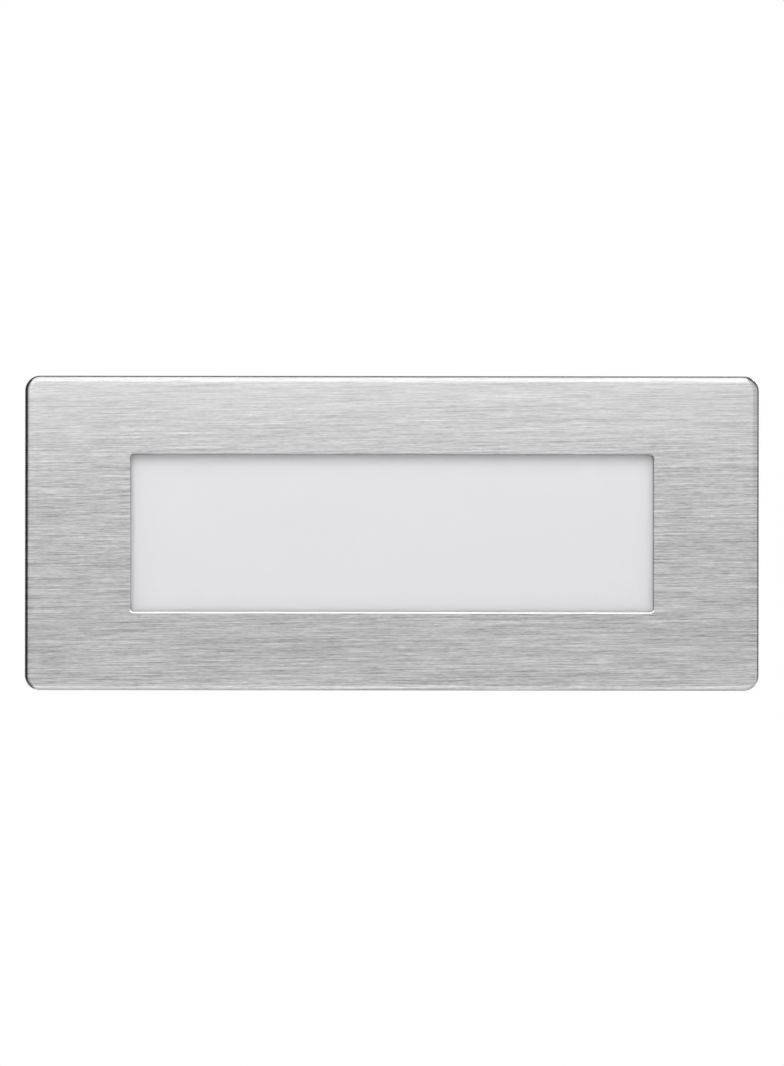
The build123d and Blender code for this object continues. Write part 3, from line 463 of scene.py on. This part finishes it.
def seen_directly(tree):
    """1 for rays that show the background: from the camera, a reflection or through glass."""
    path = tree.add("ShaderNodeLightPath").outputs
    shown = path["Is Camera Ray"]
    for name in ("Is Glossy Ray", "Is Transmission Ray"):
        shown = tree.math("MAXIMUM", shown, path[name])
    return shown


scene.world = bpy.data.worlds.new("surround")
sky = empty_tree(scene.world)
soft = sky.add("ShaderNodeBackground", {"Color": WHITE, "Strength": world_light}).outputs[0]
white = sky.add("ShaderNodeBackground", {"Color": WHITE, "Strength": white_shown}).outputs[0]
sky.add("ShaderNodeOutputWorld", {0: sky.mix_shaders(seen_directly(sky), soft, white)})


def disc(name, radius, level, rings, sides):
    vertices, faces = [(0, 0, level)], []
    for ring in range(1, rings + 1):
        reach = radius * ring / rings
        for corner in range(sides):
            angle = 2 * math.pi * corner / sides
            vertices.append((reach * math.cos(angle), reach * math.sin(angle), level))
    for corner in range(sides):
        after = (corner + 1) % sides
        faces.append((0, 1 + corner, 1 + after))
        for ring in range(rings - 1):
            near = 1 + ring * sides
            far = near + sides
            faces.append((near + corner, far + corner, far + after, near + after))
    return mesh_object(name, vertices, faces)


def floor_material():
    """Matt floor that fades to white away from the object and is clear from below."""
    material = bpy.data.materials.new("floor")
    tree = empty_tree(material)
    place = tree.add("ShaderNodeTexCoord").outputs["Object"]
    flat = tree.add("ShaderNodeVectorMath", {0: place, 1: (1, 1, 0)}, operation="MULTIPLY").outputs[0]
    reach = tree.add("ShaderNodeVectorMath", {0: flat}, operation="LENGTH").outputs["Value"]
    limits = {"Value": reach, "From Min": fade_start, "From Max": fade_end}
    fade = tree.add("ShaderNodeMapRange", limits, interpolation_type="SMOOTHSTEP").outputs["Result"]
    matt = tree.add("ShaderNodeBsdfDiffuse", {"Color": (*gray(floor_color), 1)}).outputs[0]
    glow = tree.add("ShaderNodeEmission", {"Color": WHITE, "Strength": white_shown}).outputs[0]
    top_side = tree.mix_shaders(tree.times(fade, seen_directly(tree)), matt, glow)
    from_below = tree.add("ShaderNodeNewGeometry").outputs["Backfacing"]
    clear = tree.add("ShaderNodeBsdfTransparent").outputs[0]
    tree.add("ShaderNodeOutputMaterial", {"Surface": tree.mix_shaders(from_below, top_side, clear)})
    return material


floor = disc("floor", floor_radius, floor_level, floor_rings, floor_sides)
floor.data.materials.append(floor_material())


def card(name, corners, shade=1.0, glow=0.0):
    """Flat card near the object, dark or glowing, that only reflections show."""
    made = mesh_object(name, corners, [(0, 1, 2, 3)])
    material = bpy.data.materials.new(name)
    tree = empty_tree(material)
    color = (*gray(shade), 1)
    if glow:
        surface = tree.add("ShaderNodeEmission", {"Color": color, "Strength": glow}).outputs[0]
    else:
        surface = tree.add("ShaderNodeBsdfDiffuse", {"Color": color}).outputs[0]
    tree.add("ShaderNodeOutputMaterial", {"Surface": surface})
    made.data.materials.append(material)
    made.visible_camera = False
    made.visible_diffuse = False
    made.visible_shadow = False
    made.visible_transmission = False


def facing_camera(x, z, y):
    """Corners of an upright card in front of or behind the object."""
    return [(x[0], y, z[0]), (x[1], y, z[0]), (x[1], y, z[1]), (x[0], y, z[1])]


def beside(y, z, x):
    """Corners of an upright card at one side of the object."""
    return [(x, y[0], z[0]), (x, y[1], z[0]), (x, y[1], z[1]), (x, y[0], z[1])]


def lying(x, y, z):
    """Corners of a card that lies level."""
    return [(x[0], y[0], z), (x[1], y[0], z), (x[1], y[1], z), (x[0], y[1], z)]


# Places of the cards, in metres: the dark ones draw the plate's dark edge lines, the strips its bright ones
card_reach = 0.30
card_bottom, card_split, card_top = -0.11, 0.11, 0.5
overhead = 0.16
card("card_left", beside((-0.14, 0.25), (card_bottom, card_top), -card_reach), shade=0.05)
card("card_low_left", lying((-card_reach, -0.10), (-0.08, 0.15), card_bottom), shade=0.2)
card("card_right", beside((0.03, 0.34), (card_bottom, card_split), card_reach), shade=0.22)
card("card_high_right", beside((-0.02, 0.34), (card_split, card_top), card_reach), shade=0.03)
card("card_back", facing_camera((-0.10, 0.24), (0.08, 0.37), 0.6), shade=0.03)
card("card_above", [(-0.32, -0.06, overhead), (0.32, -0.05, overhead),
                    (0.12, 0.27, overhead), (-0.12, 0.27, overhead)], shade=0.02)
card("strip_above", [(-0.095, -0.071, 0.0299), (0.075, -0.079, 0.0361),
                     (0.075, 0.004, 0.091), (-0.095, 0.004, 0.086)], glow=2.2)
card("strip_below", [(-0.068, -0.030, -0.042), (0.068, -0.030, -0.042),
                     (0.068, -0.0075, -0.036), (-0.068, -0.0075, -0.036)], glow=1.6)
card("wall_behind_camera", facing_camera((-1.0, 1.0), (-0.9, 0.9), -1.3), glow=0.82)


def softbox(name, location, target, width, height, watts):
    light = bpy.data.lights.new(name, "AREA")
    light.shape = "RECTANGLE"
    light.size = width
    light.size_y = height
    light.energy = watts
    lamp = bpy.data.objects.new(name, light)
    scene.collection.objects.link(lamp)
    lamp.location = location
    lamp.rotation_euler = (Vector(target) - Vector(location)).to_track_quat("-Z", "Y").to_euler()
    lamp.visible_camera = False
    return lamp


key = softbox("key", (-0.05, -0.36, 0.48), target=(0, 0, 0), width=0.50, height=0.40, watts=2.4)
key.visible_glossy = False
softbox("rear_fill", (0.3, 0.7, 0.5), target=(0, 0.02, 0), width=0.6, height=0.4, watts=4.0)


# Camera: straight on, as in the photograph, with the plate's place and width in pixels as measured there

frame_width, frame_height = 784, 1066
plate_pixels = 733.9
plate_middle = (391.8, 533.3)
roll = math.radians(0.07)
distance = 1.0
per_pixel = plate_width / plate_pixels
camera_data = bpy.data.cameras.new("camera")
camera_data.sensor_width = 36
camera_data.lens = camera_data.sensor_width * distance / (frame_height * per_pixel)
camera = bpy.data.objects.new("camera", camera_data)
scene.collection.objects.link(camera)
aim_x = (frame_width / 2 - plate_middle[0]) * per_pixel
aim_z = (plate_middle[1] - frame_height / 2) * per_pixel
spot = Vector((aim_x, plate_front + plate_edge_roll - distance, aim_z))
facing_plate = Matrix.Rotation(math.pi / 2, 4, "X") @ Matrix.Rotation(roll, 4, "Z")
camera.matrix_world = Matrix.Translation(spot) @ facing_plate
scene.camera = camera
